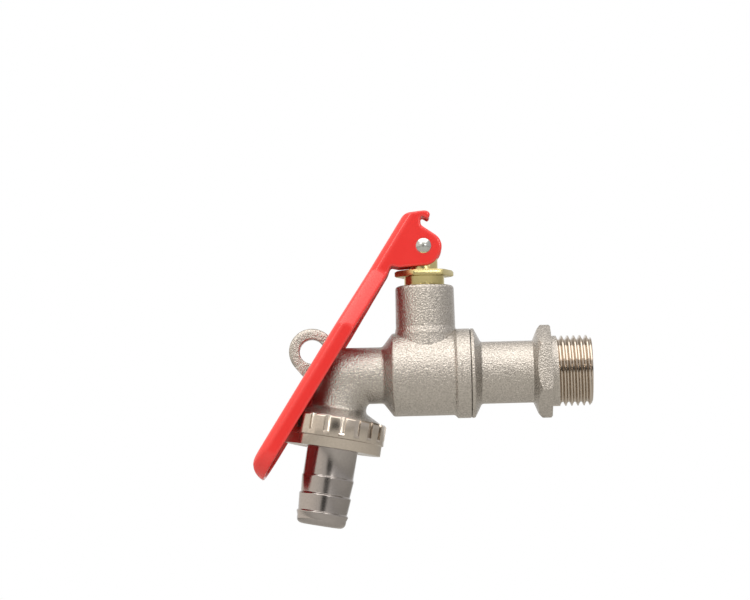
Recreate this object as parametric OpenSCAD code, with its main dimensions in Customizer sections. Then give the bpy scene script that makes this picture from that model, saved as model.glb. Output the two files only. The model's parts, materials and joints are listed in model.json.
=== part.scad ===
// Lockable garden tap: ball valve bib tap with a fold-down lever, a padlock
// eye and a union nut with a hose tail. Millimetres.
// Origin: centre of the shoulder behind the inlet thread.
// +X points out of the inlet, towards the wall. +Z points up, along the stem.

/* [Inlet connector] */
// Outside diameter of the inlet thread (half-inch pipe thread)
inlet_thread_d = 20.955; // [20:0.005:22]
// Length of the inlet thread in front of its shoulder
inlet_thread_len = 12; // [9:0.1:16]
// Bevel on the end of the inlet thread
inlet_bevel = 0.9; // [0.4:0.1:1.2]
// Bore of the inlet
inlet_bore_d = 13; // [11:0.1:13.6]
// Distance across the flats of the spanner flange
flange_af = 24.1; // [23:0.1:26]
// Width of the flats of the spanner flange
flange_w = 3.3; // [2.5:0.1:4]
// Turn of the spanner flange about the inlet axis
flange_turn = -3.9; // [-30:0.1:30]
// Outside diameter of the inlet tube
tube_d = 18.45; // [17.6:0.05:19]
// Distance from the stem axis to the thread shoulder
inlet_reach = 37; // [34:0.1:44]
// Outside diameter of the two collars that meet at the seam
collar_d = 26.6; // [26:0.1:28]
// Width of the connector's collar, without its cone
connector_collar_w = 1; // [0.8:0.1:2]

/* [Body casting] */
// Outside diameter of the valve barrel
barrel_d = 24.7; // [24:0.1:25.6]
// Barrel length on the outlet side of the stem axis
barrel_back = 10; // [9.6:0.1:11]
// Distance from the stem axis to the seam with the connector
seam_x = 13; // [12.8:0.1:15]
// Width of the body's end collar
body_collar_w = 4; // [3:0.1:4.4]
// Outside diameter of the neck
neck_d = 17.4; // [17:0.1:18.6]
// Height of the neck's top face above the inlet axis
neck_top = 26.3; // [25.6:0.1:30]
// Edge radius of the neck's top
neck_edge_r = 1; // [0.4:0.1:1.4]
// Flare of the neck's root
neck_flare = 0.6; // [0.4:0.1:1.6]
// Radius of the flare at the neck's root
neck_root_r = 3; // [2:0.5:5]
// Outside diameter of the spout barrel
spout_d = 16.8; // [16.4:0.1:17.4]
// Distance from the stem axis to the outlet axis, along the inlet axis
spout_reach = 24.6; // [23.4:0.1:26]
// Lean of the outlet away from straight down
outlet_tilt = 10.4; // [8:0.1:14]
// Outside diameter of the outlet leg
leg_d = 16.2; // [15.6:0.1:16.4]
// Radius in the inner corner of the elbow
elbow_inner_r = 2.5; // [1.5:0.1:4]
// Bore of the spout and the leg
spout_bore_d = 10.8; // [9:0.1:11.4]
// Distance along the outlet axis to the foot of the leg
leg_len = 9.9; // [9.6:0.1:10.8]
// Outside diameter of the outlet thread (three-quarter-inch pipe thread)
spigot_d = 26.44; // [26.2:0.01:26.6]
// Length of the flare between the leg and the outlet thread
flare_len = 2.7; // [2.2:0.1:3]
// Length of the outlet thread
spigot_len = 4; // [3.4:0.1:5]

/* [Padlock eye] */
// Hole diameter of the padlock eye
eye_hole_d = 7.3; // [6:0.1:7.4]
// Wall between the hole and the outer edge of the eye
eye_wall = 3.2; // [2.6:0.1:3.6]
// Thickness of the padlock eye
eye_t = 5; // [4:0.1:6]
// Edge radius of the padlock eye
eye_edge_r = 1.1; // [0.6:0.1:1.4]
// Distance from the outlet axis to the eye's centre, along the inlet axis
eye_back = 9.3; // [9.2:0.1:10.4]
// Height of the eye's centre above the inlet axis
eye_up = 7.5; // [7.3:0.1:8.4]

/* [Ball and seats] */
// Diameter of the ball
ball_d = 17.2; // [16.6:0.1:17.4]
// Port through the ball
port_d = 10.4; // [9:0.1:10.8]
// Outside diameter of the seat rings
seat_od = 16.4; // [15.8:0.1:16.6]
// Distance from the stem axis to the front face of each seat ring
seat_front = 5; // [4.8:0.1:5.4]
// Distance from the stem axis to the back face of each seat ring
seat_back = 8.8; // [8.2:0.1:8.9]
// Diameter of the valve chamber
chamber_d = 19.2; // [18.6:0.1:19.6]
// Diameter of the connector's threaded end inside the body
connector_thread_d = 20.2; // [19.8:0.1:20.6]
// Section diameter of the connector's sealing ring
connector_ring_d = 1.2; // [1:0.05:1.4]

/* [Stem and gland] */
// Diameter of the stem
stem_d = 8.2; // [7.8:0.1:8.6]
// Distance across the two flats at the top of the stem
stem_flat = 7.5; // [6.6:0.1:7.6]
// Thickness of the stem's driving tongue
tongue_t = 3.4; // [3:0.1:3.8]
// Length of the stem's driving tongue along the inlet axis
tongue_l = 6.4; // [5.6:0.1:7]
// Height of the tongue's lower end above the inlet axis
tongue_z = 6.3; // [6.1:0.1:6.6]
// Diameter of the stem's retaining collar
stem_collar_d = 10.8; // [10.2:0.1:11.2]
// Height of the underside of the retaining collar
stem_collar_z = 9.4; // [9.1:0.1:9.8]
// Thickness of the retaining collar
stem_collar_t = 3; // [2.4:0.1:3.2]
// Thickness of the thrust washer
thrust_t = 0.8; // [0.6:0.1:1]
// Section diameter of the stem's sealing rings
stem_ring_d = 1.08; // [0.9:0.02:1.2]
// Length of the neck's bore between thrust washer and packing
land_len = 4; // [3.8:0.1:4.4]
// Thickness of one packing ring
packing_t = 1.8; // [1.4:0.1:2]
// Thickness of the gland follower
follower_t = 1; // [0.8:0.1:1.4]
// Diameter of the gland nut's threaded shank
gland_d = 11.9; // [11.4:0.1:12.4]
// Height of the gland nut's shank between the neck and its head
gland_gap = 2.7; // [2:0.1:3.2]
// Distance across the flats of the gland nut's head
gland_af = 15.4; // [15:0.1:16]
// Thickness of the gland nut's head
gland_head_t = 1.8; // [1.4:0.1:2]
// Turn of the gland nut's head about the stem
gland_turn = 8; // [0:0.5:29]

/* [Lever] */
// Length of the lever from its pivot to its tip
lever_len = 84.1; // [80:0.1:100]
// Angle of the folded lever below the horizontal
lever_down = 57.3; // [56.5:0.1:58.5]
// Thickness of the lever's coated sheet steel
sheet_t = 1.3; // [1.2:0.1:1.6]
// Depth of the lever's side flanges, over the web
flange_depth = 5.5; // [5.2:0.05:6]
// Height of the pivot above the gland nut's head
pivot_up = 7.15; // [6.9:0.05:7.6]
// Diameter of the rivet's shank
rivet_d = 3.4; // [3:0.1:3.8]
// Diameter of the rivet's domed heads
rivet_head_d = 4.6; // [4.4:0.1:5]
// Height of the rivet's domed heads
rivet_head_h = 0.95; // [0.7:0.05:1.2]
// Depth of the ears below the pivot
ear_low = 5.45; // [5:0.05:6.2]
// Radius of the ears' lower corners
ear_r = 4.4; // [3:0.1:4.6]
// Distance from the pivot to the ears' front edge
ear_front = 4.6; // [4.4:0.1:5]
// Distance from the pivot to the lower corner of the ears' rear edge
ear_heel = 3.3; // [2.8:0.1:4]
// Distance from the pivot to the notch where ears and flanges meet
ear_len = 10.2; // [9.4:0.1:11]
// Distance from the pivot to the lever's nose
nose_len = 9.5; // [9:0.1:10]
// Height of the nose's lower edge above the pivot
nose_drop = 3; // [2.6:0.1:3.6]
// Height of the nose's curled lip
lip_h = 2.8; // [2.2:0.1:3.2]
// Length over which the web slopes down to the nose
nose_slope = 4.1; // [3:0.1:4.4]
// Distance from the pivot at which the lever starts to widen
waist_start = 13; // [12:0.5:16]
// Distance from the pivot at which the lever reaches its full width
waist_end = 32; // [28:0.5:34]
// Outer bend radius between the web and the flanges
bend_r = 2.5; // [1.9:0.1:2.8]
// Radius of the lever's tip, seen from above
tip_plan_r = 9; // [6:0.5:10]
// Radius of the lever's tip, seen from the side
tip_side_r = 5; // [3:0.1:5.5]
// Width of the web's slot for the padlock eye
slot_w = 7; // [6.6:0.1:8]

/* [Union nut and hose tail] */
// Wall of the union nut's grooved band, over the outlet thread's crests
nut_wall = 1.58; // [1.4:0.02:2.2]
// Step in radius from the grooved band to the plain band
nut_step = 0.5; // [0.2:0.05:0.7]
// Height of the union nut's grooved band, without its bevel
nut_band_h = 4.5; // [4:0.1:5]
// Number of spanner grooves in the union nut
groove_count = 12; // [8:2:16]
// Width of a spanner groove
groove_w = 1.7; // [1.2:0.1:2.2]
// Depth of a spanner groove
groove_depth = 1; // [0.6:0.1:1.1]
// Length of a spanner groove from the nut's top
groove_len = 4.7; // [4:0.1:5.4]
// Turn of the spanner grooves about the outlet axis
groove_turn = 1; // [0:1:29]
// Thickness of the union nut's bottom
nut_floor_t = 2.1; // [1.4:0.05:2.4]
// Thickness of the hose gasket
gasket_t = 1.5; // [1.2:0.1:1.8]
// Thickness of the hose tail's flange
tail_flange_t = 1.8; // [1.5:0.1:2]
// Diameter of the hose tail's shank
tail_d = 15.1; // [14.4:0.1:15.4]
// Bore of the hose tail
tail_bore_d = 11.2; // [9:0.1:11.6]
// Length of the plain shank between the union nut and the first barb
tail_shank = 8.15; // [7:0.05:12]
// Distance between two barbs
barb_pitch = 5.33; // [4.6:0.01:6]
// Number of barbs
barb_count = 3; // [2:1:4]
// Diameter over the crests of the barbs
barb_d = 15.6; // [15.5:0.1:16.4]
// Fall of a barb's diameter from its crest to its foot
barb_fall = 0.9; // [0.5:0.1:1.2]
// Radius on the end of the hose tail
tail_end_r = 1.8; // [1:0.1:1.9]

/* [Hidden] */
$fn = 96;

// Clearances
fit_gap = 0.05; // round pieces that sit or turn in each other
seal_gap = 0.03; // soft rings in their grooves
thread_gap = 0.08; // plain cylinders that stand for screw threads
side_gap = 0.2; // stem flats between the lever's ears
open_gap = 0.3; // lever over the union nut
eye_gap = 1; // padlock eye in the lever's slot
swivel_gap = 0.3; // hose tail in the union nut's floor, connector past the stem's collar
eps = 0.01;
waist_ease = 0.6; // the bend is rounder where the lever widens
trim = 0.02; // what the lever's form stands past the outline that trims it

// Places along the inlet axis
stem_x = -inlet_reach;
screw_x = stem_collar_d / 2 + swivel_gap;
elbow_x = stem_x - spout_reach;
barrel_cone = 3;
body_blend = 0.9;

// Heights along the stem axis
thrust_z = stem_collar_z + stem_collar_t;
shoulder_z = thrust_z + thrust_t;
packing_z = shoulder_z + land_len;
follower_z = packing_z + 2 * packing_t;
gland_z = follower_z + follower_t;
gland_head_z = neck_top + gland_gap;
gland_top = gland_head_z + gland_head_t;
pivot_z = gland_top + pivot_up;

// Stations along the outlet axis, counted from the elbow's centre
spigot_z = leg_len + flare_len;
spigot_end = spigot_z + spigot_len;
flange_z = spigot_end + gasket_t;
nut_top = spigot_z + 0.1;
nut_bevel = 1.6;
nut_d = spigot_d + 2 * nut_wall;
nut_low_d = nut_d - 2 * nut_step;
nut_floor_z = flange_z + tail_flange_t;
nut_end = nut_floor_z + nut_floor_t;
barb_z = nut_end + tail_shank;
tail_end = barb_z + barb_count * barb_pitch - 1.3;

// The folded lever's own frame: t runs from the pivot to the tip, m points
// away from the tap. Both are measured in the plane of the photo, X and Z.
lever_u = [-cos(lever_down), -sin(lever_down)];
lever_m = [-sin(lever_down), cos(lever_down)];
pivot = [stem_x, pivot_z];
function along(p) = (p - pivot) * lever_u;
function above(p) = (p - pivot) * lever_m;

// A point at a station of the outlet axis and a radius towards the lever
function outlet_point(z, r) = [elbow_x, 0]
    - z * [sin(outlet_tilt), cos(outlet_tilt)]
    + r * [-cos(outlet_tilt), sin(outlet_tilt)];

// The lever's web clears the union nut's upper edge, and its flanges pass
// on both sides of the nut
nut_edge = outlet_point(nut_top + nut_bevel, nut_d / 2);
web_in = above(nut_edge) + open_gap;
web_out = web_in + sheet_t;
flange_edge = web_out - flange_depth;
nut_drop = (above(nut_edge) - flange_edge) / sin(lever_down + outlet_tilt);
handle_in = sqrt(pow(nut_d / 2, 2) - pow(nut_d / 2 - nut_drop, 2)) + open_gap;
handle_out = handle_in + sheet_t;
ear_in = stem_flat / 2 + side_gap;
ear_out = ear_in + sheet_t;

// The padlock eye, and the slot that it passes through
eye = [elbow_x - eye_back, eye_up];
eye_r = eye_hole_d / 2 + eye_wall;
eye_arm = norm([along(eye), above(eye)]);
slot_start = sqrt(pow(eye_arm - eye_r - eye_gap, 2) - pow(web_out, 2));
slot_end = sqrt(pow(eye_arm + eye_r + eye_gap, 2) - pow(web_in, 2));

// Corner of an outline turned into an arc: a, b, c are points, r its radius
function unit(v) = v / norm(v);
function corner(a, b, c, r, n = 6) =
    let(p = unit(a - b), q = unit(c - b), half = acos(p * q) / 2,
        o = b + unit(p + q) * r / sin(half),
        s = b + p * r / tan(half) - o, e = b + q * r / tan(half) - o,
        from = atan2(s.y, s.x), turn = (atan2(e.y, e.x) - from + 540) % 360 - 180)
    [for (i = [0:n]) o + r * [cos(from + turn * i / n), sin(from + turn * i / n)]];

// Outline from points [x, y] or [x, y, corner radius]
function xy(p) = [p.x, p.y];
function rounded(pts) = let(k = len(pts))
    [for (i = [0:k - 1]) let(b = pts[i])
        each len(b) == 3
            ? corner(xy(pts[(i + k - 1) % k]), xy(b), xy(pts[(i + 1) % k]), b.z)
            : [b]];

// Turned shape about the inlet axis, from an outline of [radius, x]
module turn_x(pts) {
    rotate([0, 90, 0]) rotate_extrude() polygon(rounded(pts));
}

// Turned shape about the stem axis, from an outline of [radius, z]
module turn_z(pts) {
    rotate_extrude() polygon(rounded(pts));
}

module at_stem() translate([stem_x, 0, 0]) children();
module at_pivot() translate([stem_x, 0, pivot_z]) children();

// Local z runs out along the outlet axis, local x towards the lever
module at_outlet() translate([elbow_x, 0, 0]) rotate([0, 180 + outlet_tilt, 0]) children();

// A rod along Y, centred
module rod_y(d, l) rotate([90, 0, 0]) cylinder(d = d, h = l, center = true);

// Barrel, shoulder, end collar and spout, as one turned form
module barrel_form() {
    translate([stem_x, 0, 0]) turn_x([
        [0, -spout_reach], [spout_d / 2, -spout_reach],
        [spout_d / 2, -barrel_back - barrel_cone, 1.2],
        [barrel_d / 2, -barrel_back, 1],
        [barrel_d / 2, seam_x - body_collar_w - body_blend, 1],
        [collar_d / 2, seam_x - body_collar_w, 0.4],
        [collar_d / 2, seam_x, 0.3], [0, seam_x]]);
}

// Neck with its flared root
module neck_form() {
    root_r = neck_d / 2 + neck_flare;
    at_stem() turn_z([
        [0, 0], [root_r, spout_d / 3], [root_r, barrel_d / 2 - 0.4, 1],
        [neck_d / 2 + 0.15, barrel_d / 2 + 1.5, neck_root_r],
        [neck_d / 2, neck_top, neck_edge_r], [0, neck_top]]);
}

// Leg, flare and outlet thread
module leg_form() {
    at_outlet() turn_z([
        [0, 0], [leg_d / 2, 0], [leg_d / 2, leg_len, 1.5],
        [spigot_d / 2, spigot_z, 0.3], [spigot_d / 2, spigot_end - 0.6],
        [spigot_d / 2 - 0.6, spigot_end], [0, spigot_end]]);
}

// Elbow: a ball on the mitre and a bend that fills its inner corner
module elbow_form() {
    turn = 90 - outlet_tilt;
    tube_r = leg_d / 2 - 0.1;
    bend = elbow_inner_r + tube_r;
    back = bend * tan(turn / 2);
    translate([elbow_x, 0, 0]) sphere(d = spout_d);
    translate([elbow_x + back, 0, -bend]) rotate([90, 0, 0]) rotate([0, 0, 90])
        rotate_extrude(angle = turn) translate([bend, 0]) circle(r = tube_r);
}

// Padlock eye: a ring with rounded edges on a foot that runs into the elbow
module eye_form() {
    ring_x = elbow_x - eye_back;
    half = eye_t / 2;
    hole_r = eye_hole_d / 2;
    translate([ring_x, 0, eye_up]) rotate([90, 0, 0]) turn_z([
        [hole_r, -half, eye_edge_r / 2], [eye_r, -half, eye_edge_r],
        [eye_r, half, eye_edge_r], [hole_r, half, eye_edge_r / 2]]);
    difference() {
        rotate([90, 0, 0]) linear_extrude(eye_t, center = true) polygon([
            [ring_x + eye_r * cos(35), eye_up + eye_r * sin(35)],
            [elbow_x - 0.6, spout_d / 2 - 0.4],
            [elbow_x, 0], [elbow_x - 6, -4.4],
            [ring_x + eye_r * cos(222) + 3.4, eye_up + eye_r * sin(222) - 4],
            [ring_x + eye_r * cos(222), eye_up + eye_r * sin(222)]]);
        translate([ring_x, 0, eye_up]) rod_y(2 * (eye_r - eye_edge_r), eye_t + 1);
    }
}

// Waterway, chamber and screwed seat for the connector
module body_cavity() {
    port_r = spout_bore_d / 2;
    at_stem() turn_x([
        [0, -spout_reach], [port_r, -spout_reach], [port_r, -seat_back],
        [seat_od / 2 + fit_gap, -seat_back], [seat_od / 2 + fit_gap, -seat_front - 0.2],
        [chamber_d / 2, -seat_front - 0.2], [chamber_d / 2, screw_x],
        [connector_thread_d / 2 + thread_gap, screw_x],
        [connector_thread_d / 2 + thread_gap, seam_x + eps], [0, seam_x + eps]]);
    translate([elbow_x, 0, 0]) sphere(d = spout_bore_d);
    at_outlet() turn_z([
        [0, 0], [port_r, 0], [port_r, spigot_end - 2],
        [inlet_bore_d / 2, spigot_end + eps], [0, spigot_end + eps]]);
    at_stem() turn_z([
        [0, 0], [stem_collar_d / 2 + fit_gap, 0], [stem_collar_d / 2 + fit_gap, shoulder_z],
        [stem_d / 2 + fit_gap, shoulder_z], [stem_d / 2 + fit_gap, packing_z],
        [gland_d / 2 + thread_gap, packing_z], [gland_d / 2 + thread_gap, neck_top + eps],
        [0, neck_top + eps]]);
}

module tap_body() {
    color("#b9ad9e") difference() {
        union() {
            barrel_form();
            neck_form();
            elbow_form();
            leg_form();
            eye_form();
        }
        body_cavity();
    }
}

// Screwed inlet end: threaded inside end, collar, tube, spanner flange, thread
module inlet_connector() {
    tube_r = tube_d / 2;
    face_x = seam_x + 0.1;
    cone_x = face_x + connector_collar_w;
    tip_x = inlet_reach + inlet_thread_len;
    back_x = inlet_reach - flange_w;
    ring_x = seam_x - 2.2;
    groove_r = connector_thread_d / 2 - connector_ring_d + thread_gap - 2 * seal_gap;
    corner_r = flange_af / 2 / cos(30);
    color("#b9ad9e") at_stem() difference() {
        union() {
            turn_x([
                [0, screw_x], [connector_thread_d / 2, screw_x],
                [connector_thread_d / 2, face_x], [collar_d / 2, face_x, 0.3],
                [collar_d / 2, cone_x, 0.5], [tube_r, cone_x + 2.1, 0.8],
                [tube_r, back_x - 2, 0.8], [tube_r + 2.6, back_x - 0.9, 0.8],
                [tube_r + 2.6, inlet_reach - 0.5],
                [inlet_thread_d / 2, inlet_reach], [inlet_thread_d / 2, tip_x - inlet_bevel],
                [inlet_thread_d / 2 - inlet_bevel, tip_x], [0, tip_x]]);
            intersection() {
                rotate([flange_turn - 60, 0, 0]) rotate([0, 90, 0])
                    cylinder(r = corner_r, h = inlet_reach, $fn = 6);
                turn_x([
                    [0, back_x - 2.2], [tube_r, back_x - 2.2], [corner_r - 1.4, back_x - 0.8, 2],
                    [corner_r + 0.2, back_x + 0.5], [corner_r + 0.2, inlet_reach - 0.6],
                    [corner_r - 0.5, inlet_reach], [0, inlet_reach]]);
            }
        }
        turn_x([
            [0, screw_x - eps], [seat_od / 2 + fit_gap, screw_x - eps],
            [seat_od / 2 + fit_gap, seat_back], [spout_bore_d / 2, seat_back],
            [spout_bore_d / 2, seam_x], [inlet_bore_d / 2, cone_x + 2],
            [inlet_bore_d / 2, tip_x - 0.6], [inlet_bore_d / 2 + 0.6, tip_x + eps], [0, tip_x + eps]]);
        turn_x([
            [groove_r, ring_x], [connector_thread_d / 2 + 1, ring_x],
            [connector_thread_d / 2 + 1, ring_x + connector_ring_d + 0.3],
            [groove_r, ring_x + connector_ring_d + 0.3]]);
    }
}

// Soft ring in the connector's groove
module connector_seal_ring() {
    mid_r = (connector_thread_d - connector_ring_d) / 2 + thread_gap - seal_gap;
    color("#2a2a2c") translate([stem_x + seam_x - 2.05 + connector_ring_d / 2, 0, 0])
        rotate([0, 90, 0]) rotate_extrude() translate([mid_r, 0]) circle(d = connector_ring_d);
}

// Ball, shown shut: the port lies across the pipe and the slot along it
module valve_ball() {
    slot_t = tongue_t + 4 * fit_gap;
    color("#d5d6d8") at_stem() difference() {
        sphere(d = ball_d);
        rod_y(port_d, ball_d + 1);
        translate([-ball_d / 2, -slot_t / 2, tongue_z - 0.15]) cube([ball_d, slot_t, ball_d]);
    }
}

// Seat ring with a spherical face towards the ball
module seat_ring() {
    bore_r = spout_bore_d / 2;
    difference() {
        turn_x([
            [bore_r, seat_front], [seat_od / 2, seat_front, 0.3],
            [seat_od / 2, seat_back], [bore_r, seat_back]]);
        sphere(d = ball_d + 2 * fit_gap);
    }
}

module inlet_seat() {
    color("#f2f1ec") at_stem() seat_ring();
}

module outlet_seat() {
    color("#f2f1ec") at_stem() mirror([1, 0, 0]) seat_ring();
}

// Heights of the stem's two sealing rings
ring_pitch = land_len / 2;
ring_low = shoulder_z + ring_pitch / 2;

// Stem: tongue, retaining collar, ring grooves and the flatted, drilled head
module valve_stem() {
    head_r = stem_d / 2 + 0.2;
    round_top = gland_top + 0.2;
    groove_r = stem_d / 2 - stem_ring_d + fit_gap - 2 * seal_gap;
    color("#c8b070") at_stem() difference() {
        union() {
            translate([-tongue_l / 2, -tongue_t / 2, tongue_z])
                cube([tongue_l, tongue_t, stem_collar_z - tongue_z + eps]);
            turn_z([
                [0, stem_collar_z], [stem_collar_d / 2, stem_collar_z, 0.5],
                [stem_collar_d / 2, thrust_z], [stem_d / 2, thrust_z],
                [stem_d / 2, round_top], [0, round_top]]);
            intersection() {
                cylinder(d = stem_d, h = 2 * pivot_z);
                translate([-stem_d, -stem_flat / 2, round_top - 0.1])
                    cube([2 * stem_d, stem_flat, 2 * pivot_z]);
                union() {
                    translate([-stem_d, -stem_d, gland_top]) cube([2 * stem_d, 2 * stem_d, pivot_up]);
                    translate([0, 0, pivot_z]) rod_y(2 * head_r, 2 * stem_d);
                }
            }
        }
        translate([0, 0, pivot_z]) rod_y(rivet_d + 2 * fit_gap, 2 * stem_d);
        for (z = [ring_low, ring_low + ring_pitch])
            translate([0, 0, z]) rotate_extrude() translate([groove_r, -stem_ring_d / 2 - 0.1])
                square([stem_d, stem_ring_d + 0.2]);
    }
}

module stem_thrust_washer() {
    color("#f2f1ec") at_stem() turn_z([
        [stem_d / 2 + fit_gap, thrust_z], [stem_collar_d / 2, thrust_z],
        [stem_collar_d / 2, shoulder_z], [stem_d / 2 + fit_gap, shoulder_z]]);
}

module stem_seal_ring(z) {
    mid_r = (stem_d - stem_ring_d) / 2 + fit_gap - seal_gap;
    color("#2a2a2c") translate([stem_x, 0, z])
        rotate_extrude() translate([mid_r, 0]) circle(d = stem_ring_d);
}

module stem_seal_ring_lower() stem_seal_ring(ring_low);
module stem_seal_ring_upper() stem_seal_ring(ring_low + ring_pitch);

module packing_ring(z) {
    color("#f2f1ec") at_stem() turn_z([
        [stem_d / 2 + fit_gap, z], [gland_d / 2 - fit_gap, z],
        [gland_d / 2 - fit_gap, z + packing_t], [stem_d / 2 + fit_gap, z + packing_t]]);
}

module packing_ring_lower() packing_ring(packing_z);
module packing_ring_upper() packing_ring(packing_z + packing_t);

module gland_follower() {
    color("#c8b070") at_stem() turn_z([
        [stem_d / 2 + fit_gap, follower_z], [gland_d / 2 - fit_gap, follower_z],
        [gland_d / 2 - fit_gap, gland_z], [stem_d / 2 + fit_gap, gland_z]]);
}

// Gland nut: threaded shank and a thin hexagonal head with bevelled corners
module gland_nut() {
    corner_r = gland_af / 2 / cos(30);
    color("#c8b070") at_stem() difference() {
        union() {
            turn_z([
                [0, gland_z], [gland_d / 2 - 0.4, gland_z], [gland_d / 2, gland_z + 0.4],
                [gland_d / 2, gland_head_z + eps], [0, gland_head_z + eps]]);
            intersection() {
                rotate([0, 0, gland_turn]) translate([0, 0, gland_head_z])
                    cylinder(r = corner_r, h = gland_head_t, $fn = 6);
                turn_z([
                    [0, gland_head_z], [corner_r - 0.5, gland_head_z],
                    [corner_r, gland_head_z + 0.3], [corner_r, gland_top - 0.4],
                    [corner_r - 0.7, gland_top], [0, gland_top]]);
            }
        }
        translate([0, 0, gland_z - 1]) cylinder(d = stem_d + 2 * fit_gap, h = gland_top - gland_z + 2);
    }
}

// The lever is drawn level, in t along its length, y across and m upwards. It
// is then mirrored to point to -X and folded down about the rivet.
module fold() at_pivot() rotate([0, -lever_down, 0]) mirror([1, 0, 0]) children();

// Plate across the lever, from a side outline of [t, m]
module side_plate(pts) {
    rotate([90, 0, 0]) linear_extrude(2 * handle_out + 2, center = true) polygon(rounded(pts));
}

low_m = -pivot_up - 5;

// A corner of an outline, moved in by a distance; a, b, c run clockwise
function moved_in(a, b, c, d) =
    let(p = unit(b - a), q = unit(c - b), n = [p.y, -p.x], o = [q.y, -q.x])
    b + d * (n + o) / (1 + n * o);

// Section of the folded sheet from y1 to y2, with its upper edges rounded
module section(y1, y2, wall, inner_edge = true, outer_r = bend_r) {
    top = web_out + trim - wall;
    edge_r = outer_r - wall;
    polygon(rounded([
        [y1, low_m], [y2, low_m], [y2, top, edge_r],
        inner_edge ? [y1, top, edge_r] : [y1, top]]));
}

// Straight run of the channel
module run(half, wall, from, to) {
    translate([from, 0, 0]) rotate([90, 0, 90])
        linear_extrude(to - from) section(wall - half, half - wall, wall);
}

// Wide part of the channel, with its tip rounded in plan
module wide_part(wall) {
    end_t = lever_len + trim - tip_plan_r;
    end_y = handle_out - tip_plan_r;
    run(handle_out, wall, -nose_len - 2, end_t);
    for (side = [0, 1]) mirror([0, side, 0]) translate([end_t, end_y, 0])
        rotate_extrude(angle = 90) section(0, tip_plan_r - wall, wall, false);
    rotate([90, 0, 0]) linear_extrude(2 * end_y, center = true)
        translate([end_t, 0]) section(-1, tip_plan_r - wall, wall, false);
}

// Waist: the sides widen from the ears to the handle
module waist_side(wall) {
    widen = [waist_end - waist_start, handle_out - ear_out];
    turn = atan2(widen.y, widen.x);
    translate([waist_start, ear_out, 0]) rotate([0, 0, turn]) rotate([90, 0, 90])
        linear_extrude(3 * lever_len, center = true)
            section(-lever_len, -wall, wall, false, bend_r + waist_ease);
}

module waist_part(wall) {
    intersection() {
        waist_side(wall);
        mirror([0, 1, 0]) waist_side(wall);
    }
}

// Side outline of the web: it slopes down to the nose in front of the ears
profile = [
    [-nose_len, low_m - 1, 0], [-nose_len, nose_drop + lip_h - 0.9, 2.2],
    [nose_slope - nose_len, web_out, 3], [lever_len, web_out, tip_side_r],
    [lever_len, low_m - 1, 0]];
function side_line(wall) = [
    [wall - nose_len, low_m - 1],
    for (i = [1:3]) let(b = profile[i]) [
        each moved_in(xy(profile[i - 1]), xy(b), xy(profile[i + 1]), wall),
        b.z - wall],
    [lever_len - wall, low_m - 1]];

// Solid form of the lever, drawn in by a wall
module lever_form(wall) {
    intersection() {
        side_plate(side_line(wall));
        wide_part(wall);
        union() {
            run(ear_out, wall, -nose_len - 2, waist_end);
            waist_part(wall);
        }
    }
}

// Folded sheet: outer form less inner form, trimmed to the side outlines of
// the ears and flanges and of the web's curled nose
module lever() {
    lip_t = sheet_t - nose_len + 0.3;
    color("#e8241f") fold() difference() {
        intersection() {
            lever_form(0);
            union() {
                side_plate([
                    [lip_t, web_out + 1], [lip_t, nose_drop + lip_h], [-ear_front - 0.3, flange_edge - 0.6, 0.5],
                    [-ear_front, -ear_low, ear_r], [ear_heel, -ear_low, ear_r],
                    [ear_len - 0.8, flange_edge - 1.7, 3], [ear_len, flange_edge + 0.6, 0.5],
                    [waist_start, flange_edge, 1], [lever_len + 1, flange_edge], [lever_len + 1, web_out + 1]]);
                side_plate([
                    [-nose_len - 0.02, nose_drop, 1.1], [lip_t + 0.5, nose_drop],
                    [lip_t + 0.5, web_out + 1], [-nose_len - 0.02, web_out + 1]]);
            }
        }
        lever_form(sheet_t);
        translate([slot_start, -slot_w / 2, web_in - 1]) cube([slot_end - slot_start, slot_w, sheet_t + 2]);
        rod_y(rivet_d + 2 * seal_gap, 4 * ear_out);
    }
}

// Rivet: shank through both ears and the stem, with a dome at each end
module lever_rivet() {
    dome_r = (pow(rivet_head_d / 2, 2) + pow(rivet_head_h, 2)) / (2 * rivet_head_h);
    color("#d9dadb") fold() {
        rod_y(rivet_d, 2 * ear_out);
        for (s = [-1, 1]) intersection() {
            translate([0, s * (ear_out + rivet_head_h - dome_r), 0]) sphere(r = dome_r);
            translate([0, s * (ear_out + rivet_head_h / 2), 0]) rod_y(3 * rivet_head_d, rivet_head_h);
        }
    }
}

// Union nut: bevelled band with spanner grooves, plain band, floor with a hole
module union_nut() {
    thread_r = spigot_d / 2 + thread_gap;
    band_z = nut_top + nut_bevel;
    step_z = band_z + nut_band_h;
    color("#b4aea6") at_outlet() difference() {
        turn_z([
            [thread_r, nut_top], [nut_d / 2 - 1, nut_top], [nut_d / 2, band_z, 0.3],
            [nut_d / 2, step_z, 0.15], [nut_low_d / 2, step_z + 0.25], [nut_low_d / 2, nut_end, 0.4],
            [tail_d / 2 + swivel_gap, nut_end], [tail_d / 2 + swivel_gap, nut_floor_z],
            [thread_r, nut_floor_z]]);
        for (i = [0:groove_count - 1]) rotate([0, 0, -90 - groove_turn + i * 360 / groove_count])
            translate([nut_d / 2 - groove_depth, -groove_w / 2, nut_top - 1])
                cube([groove_depth + 1, groove_w, groove_len + 1]);
    }
}

module hose_gasket() {
    color("#3a3a3c") at_outlet() turn_z([
        [inlet_bore_d / 2, spigot_end], [spigot_d / 2 - 0.7, spigot_end],
        [spigot_d / 2 - 0.7, flange_z], [inlet_bore_d / 2, flange_z]]);
}

// Outline of one barb: a square step, then a slope towards the tail's end
function barb_points(i) = let(z = barb_z + i * barb_pitch, foot = barb_d / 2 - barb_fall / 2)
    [[i == 0 ? tail_d / 2 : foot, z], [barb_d / 2, z + 0.35],
        [foot, i == barb_count - 1 ? tail_end - tail_end_r - 0.5 : z + barb_pitch]];

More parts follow.
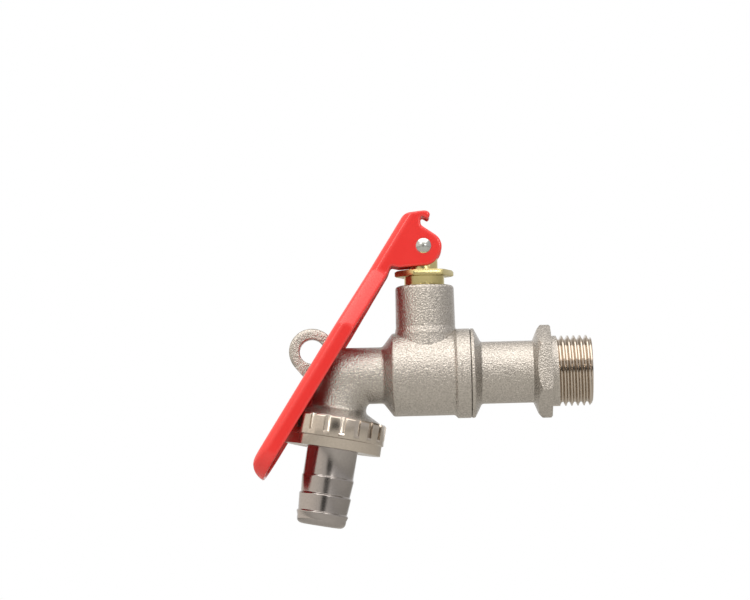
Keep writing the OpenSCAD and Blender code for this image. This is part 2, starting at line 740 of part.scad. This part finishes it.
module hose_tail() {
    color("#a8a39b") at_outlet() difference() {
        turn_z(concat(
            [[0, flange_z], [spigot_d / 2 - 0.5, flange_z], [spigot_d / 2 - 0.5, nut_floor_z],
                [tail_d / 2, nut_floor_z]],
            [for (i = [0:barb_count - 1]) each barb_points(i)],
            [[barb_d / 2 - barb_fall / 2 - 0.05, tail_end, tail_end_r], [0, tail_end]]));
        translate([0, 0, flange_z - 1]) cylinder(d = tail_bore_d, h = tail_end - flange_z + 2);
    }
}

tap_body();
inlet_connector();
connector_seal_ring();
valve_ball();
inlet_seat();
outlet_seat();
valve_stem();
stem_thrust_washer();
stem_seal_ring_lower();
stem_seal_ring_upper();
packing_ring_lower();
packing_ring_upper();
gland_follower();
gland_nut();
lever();
lever_rivet();
union_nut();
hose_gasket();
hose_tail();
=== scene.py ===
"""Looks of a lockable garden tap, laid out as a Blender add-on.

Each operator builds one piece or one group of pieces over the CAD frame. The
panel shows the settings that they read. Lengths in the settings are in
millimetres, and the scene is in metres.
"""

import json
import math

import bpy
from mathutils import Matrix, Vector


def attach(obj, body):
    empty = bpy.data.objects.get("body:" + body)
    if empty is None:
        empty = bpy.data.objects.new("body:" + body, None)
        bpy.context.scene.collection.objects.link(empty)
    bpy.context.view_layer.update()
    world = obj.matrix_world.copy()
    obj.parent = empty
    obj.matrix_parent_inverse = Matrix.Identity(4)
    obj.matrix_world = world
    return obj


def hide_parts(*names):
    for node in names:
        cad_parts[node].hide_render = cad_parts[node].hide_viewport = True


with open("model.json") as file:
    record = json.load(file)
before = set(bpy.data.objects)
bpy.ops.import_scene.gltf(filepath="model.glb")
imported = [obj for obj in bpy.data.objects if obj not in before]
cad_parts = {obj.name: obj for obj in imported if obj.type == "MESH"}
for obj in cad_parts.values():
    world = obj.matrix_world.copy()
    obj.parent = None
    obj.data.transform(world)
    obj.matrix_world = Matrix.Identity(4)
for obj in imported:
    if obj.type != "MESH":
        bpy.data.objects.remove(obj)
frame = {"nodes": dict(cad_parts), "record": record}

bl_info = {
    "name": "Lockable garden tap",
    "version": (1, 0, 0),
    "blender": (4, 2, 0),
    "location": "View3D > Sidebar > Tap",
    "description": "Builds the visual model of a lockable garden tap over its CAD frame",
    "category": "Object",
}

MM = 0.001


# Settings


class TapSizes(bpy.types.PropertyGroup):
    """Lengths in millimetres."""

    thread_crest: bpy.props.FloatProperty(name="Thread crest diameter", default=20.955, min=20, max=22)
    thread_root: bpy.props.FloatProperty(name="Thread root diameter", default=18.7, min=18, max=20)
    thread_pitch: bpy.props.FloatProperty(name="Thread pitch", default=1.814, min=1, max=3)
    thread_start: bpy.props.FloatProperty(name="Plain length before the thread", default=1.75, min=1, max=4)
    thread_turns: bpy.props.IntProperty(name="Turns of the thread groove", default=7, min=3, max=9)
    outlet_tilt: bpy.props.FloatProperty(name="Tilt of the outlet in degrees", default=10.4, min=8, max=14)
    outlet_x: bpy.props.FloatProperty(name="Place of the elbow on the inlet axis", default=-61.6, min=-62, max=-61)
    thread_r: bpy.props.FloatProperty(name="Inner radius of the union nut", default=13.3, min=13, max=13.6)
    nut_r: bpy.props.FloatProperty(name="Radius of the union nut", default=14.8, min=14.4, max=14.9)
    nut_step: bpy.props.FloatProperty(name="Step below the grooved band", default=0.5, min=0.2, max=0.8)
    nut_top: bpy.props.FloatProperty(name="Start of the union nut", default=12.7, min=12.6, max=13)
    nut_grooves: bpy.props.IntProperty(name="Spanner grooves", default=20, min=12, max=24)
    flange_z: bpy.props.FloatProperty(name="Start of the hose tail", default=18.1, min=18, max=18.5)
    tail_r: bpy.props.FloatProperty(name="Radius of the tail's shank", default=7.55, min=7, max=7.7)
    tail_bore_r: bpy.props.FloatProperty(name="Bore radius of the tail", default=5.6, min=5, max=5.8)
    barb_z: bpy.props.FloatProperty(name="Start of the barbs", default=30.15, min=30, max=31)
    barb_pitch: bpy.props.FloatProperty(name="Pitch of the barbs", default=5.33, min=5, max=5.4)
    barb_r: bpy.props.FloatProperty(name="Crest radius of the barbs", default=7.8, min=7.6, max=7.8)
    tail_end: bpy.props.FloatProperty(name="End of the tail", default=44.84, min=44, max=44.9)
    coat_grid: bpy.props.FloatProperty(name="Grid of the coated skin", default=0.32, min=0.2, max=0.5)
    edge_metal: bpy.props.FloatProperty(name="Radius of machined edges", default=0.12, min=0.02, max=0.4)
    blast_grain: bpy.props.FloatProperty(name="Grain of the blasted skin", default=0.45, min=0.1, max=2)


class TapColours(bpy.types.PropertyGroup):
    """Base colours as sRGB hex codes."""

    nickel_blasted: bpy.props.StringProperty(name="Blasted nickel", default="#bbb7b2")
    nickel_machined: bpy.props.StringProperty(name="Machined nickel", default="#c2bab1")
    nickel_tail: bpy.props.StringProperty(name="Nickel of the hose tail", default="#a5a1a0")
    nickel_thread: bpy.props.StringProperty(name="Nickel of the thread", default="#c8bfb5")
    brass: bpy.props.StringProperty(name="Bare brass", default="#d0c48e")
    red: bpy.props.StringProperty(name="Red coating", default="#e93836")
    zinc: bpy.props.StringProperty(name="Zinc plate", default="#bfc3c3")
    chrome: bpy.props.StringProperty(name="Chrome plate", default="#d8d9dc")
    fluoropolymer: bpy.props.StringProperty(name="White fluoropolymer", default="#efeee8")
    rubber: bpy.props.StringProperty(name="Black rubber", default="#1c1c1e")
    floor: bpy.props.StringProperty(name="Floor", default="#bcbcb9")


def sizes():
    return bpy.context.scene.tap_sizes


def linear(code):
    """An sRGB hex code as linear RGBA."""
    parts = [int(code[i : i + 2], 16) / 255 for i in (1, 3, 5)]
    return [c / 12.92 if c <= 0.04045 else ((c + 0.055) / 1.055) ** 2.4 for c in parts] + [1.0]


# Materials

FINISHES = {}


class Nodes:
    """The node tree of a material or a world, with functions that add nodes."""

    def __init__(self, owner):
        self.owner = owner
        owner.use_nodes = True
        self.tree = owner.node_tree
        self.shader = self.tree.nodes.get("Principled BSDF")

    def add(self, kind, settings=None, **inputs):
        node = self.tree.nodes.new(kind)
        for key, value in (settings or {}).items():
            setattr(node, key, value)
        self.put(node, **inputs)
        return node

    def put(self, node, **inputs):
        for key, value in inputs.items():
            socket = node.inputs[int(key[1:])] if key[0] == "_" else node.inputs[key.replace("_", " ")]
            if isinstance(value, bpy.types.NodeSocket):
                self.tree.links.new(value, socket)
            else:
                socket.default_value = value

    def ramp(self, source, stops):
        node = self.add("ShaderNodeValToRGB", Fac=source)
        for i, (place, colour) in enumerate(stops):
            stop = node.color_ramp.elements[i] if i < 2 else node.color_ramp.elements.new(place)
            stop.position, stop.color = place, colour
        return node.outputs["Color"]

    def noise(self, grain_mm, detail=2.0, stretch=(1, 1, 1)):
        """Noise with grains of a size in millimetres, in object coordinates."""
        place = self.add("ShaderNodeTexCoord").outputs["Object"]
        mapped = self.add("ShaderNodeMapping", Vector=place, Scale=stretch).outputs["Vector"]
        return self.add(
            "ShaderNodeTexNoise", Vector=mapped, Scale=1 / (grain_mm * MM), Detail=detail
        ).outputs["Fac"]


def metal(name, code, roughness, bump=0.0, grain=0.4, speckle=0.0, worn=0.0):
    """Metal whose roughness and colour vary in patches, with a grain in its skin."""
    n = Nodes(bpy.data.materials.new(name))
    base = linear(code)
    light = [min(1, c * (1 + speckle)) for c in base[:3]] + [1]
    dark = [c * (1 - speckle) for c in base[:3]] + [1]
    fine = n.noise(grain, 3.0)
    broad = n.noise(9.0, 2.0)
    colour = n.ramp(fine, [(0.3, dark), (0.7, light)])
    rough = n.add("ShaderNodeMapRange", Value=broad, To_Min=roughness - worn, To_Max=roughness + worn)
    n.put(n.shader, Base_Color=colour, Metallic=1.0, Roughness=rough.outputs["Result"])
    if bump:
        raised = n.add("ShaderNodeBump", Strength=1.0, Distance=bump * MM, Height=fine)
        n.put(n.shader, Normal=raised.outputs["Normal"])
    return n.owner


def plastic(name, code, roughness, coat=0.0):
    """Plastic, rubber or paint, with a faint unevenness."""
    n = Nodes(bpy.data.materials.new(name))
    broad = n.noise(6.0, 2.0)
    rough = n.add("ShaderNodeMapRange", Value=broad, To_Min=roughness * 0.8, To_Max=roughness * 1.2)
    raised = n.add("ShaderNodeBump", Strength=1.0, Distance=0.02 * MM, Height=broad)
    n.put(n.shader, Base_Color=linear(code), Roughness=rough.outputs["Result"])
    n.put(n.shader, Coat_Weight=coat, Coat_Roughness=0.06, Normal=raised.outputs["Normal"])
    return n.owner


def make_finish(slot):
    """The material that a slot of the record stands for."""
    c = bpy.context.scene.tap_colours
    if slot == "nickel_blasted":
        # Sand-blasted nickel plate: a warm grey, grainy skin that glitters where light grazes it
        return metal("sand_blasted_nickel", c.nickel_blasted, 0.25, 0.32, sizes().blast_grain, 0.22, 0.03)
    if slot == "nickel_machined":
        # Turned nickel plate: cloudy reflections, with duller patches where it was handled
        return metal("turned_nickel", c.nickel_machined, 0.2, 0.008, 0.6, 0.06, 0.07)
    if slot == "nickel_tail":
        # Nickel plate over a drawn tube: greyer and duller than the nut above it
        return metal("drawn_nickel", c.nickel_tail, 0.19, 0.008, 0.5, 0.06, 0.06)
    if slot == "nickel_thread":
        # Nickel plate on the cut thread: the cleanest and palest, with sharp light on each crest
        return metal("threaded_nickel", c.nickel_thread, 0.15, 0.006, 0.6, 0.03, 0.04)
    if slot == "brass_bare":
        # Turned brass without plate: yellow, duller than the plated pieces
        return metal("turned_brass", c.brass, 0.24, 0.006, 0.6, 0.05, 0.05)
    if slot == "zinc_plate":
        # Bright zinc plate: pale with small dull patches
        return metal("bright_zinc", c.zinc, 0.22, 0.01, 0.6, 0.04, 0.06)
    if slot == "chrome_plate":
        # Polished chrome plate: a clear mirror
        return metal("polished_chrome", c.chrome, 0.06, 0.0, 1.0, 0.0, 0.01)
    if slot == "red_coating":
        # Dipped red coating: an even colour under a smooth glossy skin
        return plastic("dipped_red_coating", c.red, 0.22, 0.3)
    if slot == "ptfe_white":
        # White fluoropolymer: waxy, without gloss
        return plastic("white_fluoropolymer", c.fluoropolymer, 0.45)
    # Nitrile rubber: dull black
    return plastic("black_nitrile_rubber", c.rubber, 0.6)


def finish(slot):
    if slot not in FINISHES:
        FINISHES[slot] = make_finish(slot)
    return FINISHES[slot]


def paint(obj, slot):
    obj.data.materials.clear()
    obj.data.materials.append(finish(slot))
    return obj


# Modelling


def select(*objs):
    bpy.ops.object.select_all(action="DESELECT")
    for o in objs:
        o.select_set(True)
    bpy.context.view_layer.objects.active = objs[0]


def apply_modifiers(obj):
    select(obj)
    for m in list(obj.modifiers):
        bpy.ops.object.modifier_apply(modifier=m.name)
    return obj


def smooth(obj, angle=32):
    select(obj)
    bpy.ops.object.shade_smooth_by_angle(angle=math.radians(angle))
    return obj


def merged_copy(node, name):
    """A copy of a CAD node with its loose triangles joined into clean faces."""
    obj = frame["nodes"][node].copy()
    obj.data = obj.data.copy()
    obj.name = obj.data.name = name
    obj.parent = None
    obj.matrix_world = Matrix.Identity(4)
    for key in list(obj.keys()):
        del obj[key]
    bpy.context.scene.collection.objects.link(obj)
    select(obj)
    bpy.ops.object.mode_set(mode="EDIT")
    bpy.ops.mesh.select_all(action="SELECT")
    bpy.ops.mesh.remove_doubles(threshold=0.002 * MM)
    bpy.ops.mesh.customdata_custom_splitnormals_clear()
    bpy.ops.mesh.dissolve_limited(angle_limit=math.radians(0.4))
    bpy.ops.object.mode_set(mode="OBJECT")
    return obj


def turned(name, outline, steps=128):
    """A turned piece on the Z axis, from its closed outline as (radius, height) in mm."""
    bpy.ops.object.select_all(action="DESELECT")
    bpy.ops.mesh.primitive_plane_add(size=MM)
    obj = bpy.context.object
    obj.name = obj.data.name = name
    bpy.ops.object.mode_set(mode="EDIT")
    bpy.ops.mesh.select_mode(type="VERT")
    bpy.ops.mesh.select_all(action="SELECT")
    bpy.ops.mesh.merge(type="CENTER")
    bpy.ops.transform.translate(value=(outline[0][0] * MM, 0, outline[0][1] * MM))
    for (r0, z0), (r1, z1) in zip(outline, outline[1:] + outline[:1]):
        move = ((r1 - r0) * MM, 0, (z1 - z0) * MM)
        bpy.ops.mesh.extrude_region_move(TRANSFORM_OT_translate={"value": move})
    bpy.ops.mesh.select_all(action="SELECT")
    bpy.ops.mesh.remove_doubles(threshold=0.002 * MM)
    bpy.ops.object.mode_set(mode="OBJECT")
    turn = obj.modifiers.new("Turn", "SCREW")
    turn.axis = "Z"
    turn.angle = math.tau
    turn.screw_offset = 0
    turn.steps = turn.render_steps = steps
    turn.use_merge_vertices = True
    turn.merge_threshold = 0.001 * MM
    apply_modifiers(obj)
    bpy.ops.object.mode_set(mode="EDIT")
    bpy.ops.mesh.select_all(action="SELECT")
    bpy.ops.mesh.normals_make_consistent(inside=False)
    bpy.ops.object.mode_set(mode="OBJECT")
    return obj


def bevel_edges(obj, width, segments, chosen):
    """Round the edges whose two ends both pass the test."""
    bpy.ops.object.select_all(action="DESELECT")
    select(obj)
    bpy.ops.object.mode_set(mode="EDIT")
    bpy.ops.mesh.select_mode(type="EDGE")
    bpy.ops.mesh.select_all(action="DESELECT")
    bpy.ops.object.mode_set(mode="OBJECT")
    points = obj.data.vertices
    for edge in obj.data.edges:
        edge.select = all(chosen(points[i].co / MM) for i in edge.vertices)
    bpy.ops.object.mode_set(mode="EDIT")
    bpy.ops.mesh.bevel(offset=width * MM, segments=segments, affect="EDGES", clamp_overlap=True)
    bpy.ops.mesh.select_mode(type="VERT")
    bpy.ops.object.mode_set(mode="OBJECT")
    return obj


def soften(obj, radius, segments=2, angle=35):
    """The small radius that all sharp edges of a piece have."""
    bevel = obj.modifiers.new("Edge radius", "BEVEL")
    bevel.width = radius * MM
    bevel.segments = segments
    bevel.limit_method = "ANGLE"
    bevel.angle_limit = math.radians(angle)
    bevel.use_clamp_overlap = True
    bevel.miter_outer = "MITER_ARC"
    apply_modifiers(obj)
    return smooth(obj)


def dipped_copy(node, name, body, slot):
    """A CAD node under a coating that rounds each edge and fills each inner corner."""
    obj = merged_copy(node, name)
    skin = obj.modifiers.new("Coating", "REMESH")
    skin.mode = "VOXEL"
    skin.voxel_size = sizes().coat_grid * MM
    flow = obj.modifiers.new("Flow", "SMOOTH")
    flow.factor = 0.5
    flow.iterations = 12
    apply_modifiers(obj)
    select(obj)
    bpy.ops.object.shade_smooth()
    return finish_piece(obj, body, slot, node)


def to_outlet(obj):
    """Move a piece from the Z axis onto the outlet axis, below the elbow."""
    s = sizes()
    select(obj)
    obj.rotation_euler = (0, math.pi + math.radians(s.outlet_tilt), 0)
    obj.location = (s.outlet_x * MM, 0, 0)
    bpy.ops.object.transform_apply()
    return obj


def finish_piece(obj, body, slot, *nodes):
    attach(obj, body)
    if nodes:
        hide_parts(*nodes)
    return paint(obj, slot)


def rounded_copy(node, name, body, slot, radius, segments=2, angle=35):
    """A CAD node as a piece with the small radii that its edges have."""
    obj = soften(merged_copy(node, name), radius, segments, angle)
    return finish_piece(obj, body, slot, node)


# Operators


class TAP_OT_cast_body(bpy.types.Operator):
    """Cast and blasted body with barrel, neck, spout and padlock eye."""

    bl_idname = "tap.cast_body"
    bl_label = "Cast body"

    def execute(self, context):
        rounded_copy("tap_body", "cast_body", "tap", "nickel_blasted", 0.15)
        return {"FINISHED"}


class TAP_OT_inlet(bpy.types.Operator):
    """Inlet connector with its spanner flange and thread."""

    bl_idname = "tap.inlet"
    bl_label = "Inlet connector"

    def execute(self, context):
        obj = rounded_copy("inlet_connector", "inlet_end", "tap", "nickel_blasted", 0.15)
        groove = self.groove()
        cut = obj.modifiers.new("Thread", "BOOLEAN")
        cut.operation = "DIFFERENCE"
        cut.solver = "EXACT"
        cut.object = groove
        apply_modifiers(obj)
        bpy.data.objects.remove(groove)
        smooth(obj, 25)
        obj.data.materials.append(finish("nickel_thread"))
        for face in obj.data.polygons:
            face.material_index = int(face.center.x > 0.8 * sizes().thread_start * MM)
        return {"FINISHED"}


    def groove(self):
        """The helical space between the threads, as a closed cutter."""
        s = sizes()
        outer = s.thread_crest / 2 + 0.14
        depth = outer - s.thread_root / 2
        bpy.ops.mesh.primitive_plane_add(size=1)
        obj = bpy.context.object
        obj.name = "thread_groove"
        bpy.ops.object.mode_set(mode="EDIT")
        bpy.ops.transform.resize(value=(s.thread_pitch * 0.88 * MM, depth * MM, 1))
        bpy.ops.transform.translate(value=(s.thread_start * MM, (outer - depth / 2) * MM, 0))
        bpy.ops.mesh.select_all(action="DESELECT")
        bpy.ops.object.mode_set(mode="OBJECT")
        for v in obj.data.vertices:
            v.select = v.co.y < (outer - depth / 2) * MM
        bpy.ops.object.mode_set(mode="EDIT")
        bpy.ops.transform.resize(value=(0.2, 1, 1), center_override=(s.thread_start * MM, 0, 0))
        bpy.ops.mesh.select_all(action="SELECT")
        bpy.ops.mesh.delete(type="ONLY_FACE")
        bpy.ops.object.mode_set(mode="OBJECT")
        turn = obj.modifiers.new("Helix", "SCREW")
        turn.axis = "X"
        turn.angle = math.tau
        turn.screw_offset = s.thread_pitch * MM
        turn.iterations = s.thread_turns
        turn.steps = turn.render_steps = 96
        apply_modifiers(obj)
        bpy.ops.object.mode_set(mode="EDIT")
        bpy.ops.mesh.select_all(action="SELECT")
        bpy.ops.mesh.fill_holes(sides=0)
        bpy.ops.mesh.select_all(action="SELECT")
        bpy.ops.mesh.normals_make_consistent(inside=False)
        bpy.ops.object.mode_set(mode="OBJECT")
        return obj


class TAP_OT_gland(bpy.types.Operator):
    """Brass stem and gland nut."""

    bl_idname = "tap.gland"
    bl_label = "Stem and gland nut"

    def execute(self, context):
        edge = sizes().edge_metal
        rounded_copy("gland_nut", "brass_gland_nut", "tap", "brass_bare", edge)
        rounded_copy("valve_stem", "brass_stem", "tap", "brass_bare", edge)
        return {"FINISHED"}


class TAP_OT_lever(bpy.types.Operator):
    """Folded lever with its rivet."""

    bl_idname = "tap.lever"
    bl_label = "Lever"

    def execute(self, context):
        dipped_copy("lever", "coated_lever", "lever", "red_coating")
        rounded_copy("lever_rivet", "domed_rivet", "lever", "zinc_plate", sizes().edge_metal)
        return {"FINISHED"}


class TAP_OT_hose_union(bpy.types.Operator):
    """Union nut and barbed hose tail."""

    bl_idname = "tap.hose_union"
    bl_label = "Union nut and hose tail"

    def execute(self, context):
        finish_piece(self.nut(), "union_nut", "nickel_machined", "union_nut")
        tail = finish_piece(self.tail(), "hose_tail", "nickel_machined", "hose_tail")
        tail.data.materials[0] = finish("nickel_tail")
        return {"FINISHED"}

    def nut(self):
        """A turned ring with a band of milled spanner grooves."""
        s = sizes()
        band, floor, end = s.nut_top + 6.1, s.flange_z + 1.8, s.flange_z + 3.9
        hole, low = s.tail_r + 0.3, s.nut_r - s.nut_step
        obj = turned("grooved_nut", [
            (s.thread_r, s.nut_top), (s.nut_r - 0.5, s.nut_top), (s.nut_r, s.nut_top + 0.5), (s.nut_r, band),
            (low, band + 0.25), (low, end), (hole, end), (hole, floor), (s.thread_r, floor)], 144)
        for i in range(s.nut_grooves):
            self.mill(obj, math.radians(-80.5) + i * math.tau / s.nut_grooves)
        return to_outlet(soften(obj, s.edge_metal * 0.6))

    def mill(self, obj, angle):
        """Cut one spanner groove, open to the top of the nut."""
        s = sizes()
        bpy.ops.object.select_all(action="DESELECT")
        bpy.ops.mesh.primitive_cube_add(size=1)
        tool = bpy.context.object
        tool.scale = (2.2 * MM, 1.6 * MM, 6.7 * MM)
        tool.location = ((s.nut_r + 0.2) * MM, 0, (s.nut_top + 1.35) * MM)
        bpy.ops.object.transform_apply()
        tool.rotation_euler = (0, 0, angle)
        bpy.ops.object.transform_apply()
        cut = obj.modifiers.new("Groove", "BOOLEAN")
        cut.operation = "DIFFERENCE"
        cut.solver = "EXACT"
        cut.object = tool
        apply_modifiers(obj)
        bpy.data.objects.remove(tool)

    def tail(self):
        """Flange, shank and barbs, turned in one and bored through."""
        s = sizes()
        floor, foot = s.flange_z + 1.8, s.barb_r - 0.45
        outline = [(s.tail_bore_r, s.flange_z), (s.thread_r - 0.58, s.flange_z), (s.thread_r - 0.58, floor),
                   (s.tail_r, floor), (s.tail_r, s.barb_z)]
        for i in range(3):
            z = s.barb_z + i * s.barb_pitch
            outline += [(s.barb_r, z + 0.35), (foot, z + s.barb_pitch)]
        outline[-1] = (foot, s.tail_end - 2.3)
        outline += [(foot - 0.05, s.tail_end), (s.tail_bore_r, s.tail_end)]
        obj = turned("barbed_tail", outline)
        bevel_edges(obj, 0.3, 3, lambda p: s.barb_z < p.z and p.xy.length > s.barb_r - 0.01)
        bevel_edges(obj, 1.6, 6, lambda p: p.z > s.tail_end - 0.01 and p.xy.length > s.tail_r - 0.4)
        return to_outlet(soften(obj, s.edge_metal))


class TAP_OT_inner_pieces(bpy.types.Operator):
    """Materials of the pieces that stay as CAD made them."""

    bl_idname = "tap.inner_pieces"
    bl_label = "Inner pieces"

    def execute(self, context):
        slots = {s["node"]: s["material_slot"] for s in frame["record"]["subparts"]}
        for node, obj in frame["nodes"].items():
            if not obj.hide_render:
                paint(obj, slots[node])
        return {"FINISHED"}


class TAP_OT_stage(bpy.types.Operator):
    """Floor, soft lights and the camera at the photo's place."""

    bl_idname = "tap.stage"
    bl_label = "Stage"

    def execute(self, context):
        bpy.ops.mesh.primitive_plane_add(size=6, location=(0, 0, -0.16))
        floor = bpy.context.object
        floor.name = "floor"
        n = Nodes(bpy.data.materials.new("floor_paper"))
        n.put(n.shader, Base_Color=linear(context.scene.tap_colours.floor), Roughness=0.9)
        floor.data.materials.append(n.owner)
        self.world(context)
        self.lights()
        self.camera(context)
        return {"FINISHED"}

    def world(self, context):
        """White paper behind the tap; a tent, pale at the left and dark at the lens, for the rest."""
        world = bpy.data.worlds.new("studio")
        context.scene.world = world
        world.use_nodes = True
        n = Nodes(world)
        side = n.add("ShaderNodeSeparateXYZ", Vector=n.add("ShaderNodeTexCoord").outputs["Generated"])
        across = n.add("ShaderNodeMapRange", Value=side.outputs["X"], From_Min=-1.0)
        wall = n.ramp(across.outputs["Result"], [(0.0, linear("#fdf2e4")), (0.45, linear("#cec8c0")), (1.0, linear("#c4c1be"))])
        near = n.add("ShaderNodeMapRange", Value=side.outputs["Y"], From_Min=-0.993, From_Max=-0.955, To_Min=0.04, To_Max=1.15)
        room = n.add("ShaderNodeBackground", Color=wall, Strength=near.outputs["Result"])
        paper = n.add("ShaderNodeBackground", Color=(1, 1, 1, 1))
        ray = n.add("ShaderNodeLightPath").outputs
        mirrored = n.add("ShaderNodeMath", {"operation": "ADD"}, _0=ray["Is Glossy Ray"], _1=ray["Is Transmission Ray"])
        behind = n.add("ShaderNodeMapRange", Value=side.outputs["Y"], From_Min=0.8, From_Max=0.97)
        paper_seen = n.add(
            "ShaderNodeMath",
            {"operation": "MULTIPLY_ADD", "use_clamp": True},
            _0=mirrored.outputs[0], _1=behind.outputs["Result"], _2=ray["Is Camera Ray"],
        )
        both = n.add("ShaderNodeMixShader", Fac=paper_seen.outputs[0], _1=room.outputs[0], _2=paper.outputs[0])
        n.tree.links.new(both.outputs[0], n.tree.nodes["World Output"].inputs["Surface"])

    def lights(self):
        """Softboxes as place, width, depth and watts; the small ones are turned to the tap, and the top one faces
        straight down.
        """
        aim = Vector((-0.05, 0, 0.01))
        for name, place, width, depth, watts in (
            ("top_light", (-0.05, -0.46, 0.8), 1.4, 1.28, 10),
            ("right_key", (0.25, -0.85, 0.22), 0.13, 0.13, 0.55),
            ("left_key", (-0.5, -0.75, 0.5), 0.2, 0.2, 0.6),
        ):
            bpy.ops.object.light_add(type="AREA", location=place)
            light = bpy.context.object
            light.name = name
            light.data.shape = "RECTANGLE"
            light.data.size, light.data.size_y = width, depth
            light.data.energy = watts
            light.data.color = (1, 0.95, 0.89)
            if width < 1:
                light.rotation_euler = (aim - Vector(place)).to_track_quat("-Z", "Y").to_euler()

    def camera(self, context):
        bpy.ops.object.camera_add()
        camera = bpy.context.object
        context.scene.camera = camera
        aim = Vector((-51.8, 0, 22.53)) * MM
        low, roll, away = math.radians(4.7), math.radians(-1.5), 1.1
        place = aim + away * Vector((0, -math.cos(low), -math.sin(low)))
        turn = (aim - place).to_track_quat("-Z", "Y").to_matrix().to_4x4()
        camera.matrix_world = Matrix.Translation(place) @ turn @ Matrix.Rotation(roll, 4, "Z")
        camera.data.sensor_width = 36
        camera.data.lens = 177.4
        camera.data.clip_start = 0.01


CLASSES = (
    TapSizes,
    TapColours,
    TAP_OT_cast_body,
    TAP_OT_inlet,
    TAP_OT_gland,
    TAP_OT_lever,
    TAP_OT_hose_union,
    TAP_OT_inner_pieces,
    TAP_OT_stage,
)


class TAP_PT_panel(bpy.types.Panel):
    """Settings and operators in the sidebar."""

    bl_idname = "TAP_PT_panel"
    bl_label = "Lockable garden tap"
    bl_space_type = "VIEW_3D"
    bl_region_type = "UI"
    bl_category = "Tap"

    def draw(self, context):
        for settings in (context.scene.tap_sizes, context.scene.tap_colours):
            for key in settings.__annotations__:
                self.layout.prop(settings, key)
        for item in CLASSES[2:]:
            self.layout.operator(item.bl_idname)


def register():
    for item in (*CLASSES, TAP_PT_panel):
        bpy.utils.register_class(item)
    bpy.types.Scene.tap_sizes = bpy.props.PointerProperty(type=TapSizes)
    bpy.types.Scene.tap_colours = bpy.props.PointerProperty(type=TapColours)


def unregister():
    del bpy.types.Scene.tap_sizes
    del bpy.types.Scene.tap_colours
    for item in reversed((*CLASSES, TAP_PT_panel)):
        bpy.utils.unregister_class(item)


def main():
    register()
    bpy.context.scene.view_settings.view_transform = "Standard"
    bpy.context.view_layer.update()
    bpy.ops.tap.cast_body()
    bpy.ops.tap.inlet()
    bpy.ops.tap.gland()
    bpy.ops.tap.lever()
    bpy.ops.tap.hose_union()
    bpy.ops.tap.inner_pieces()
    bpy.ops.tap.stage()


if __name__ == "__main__":
    main()
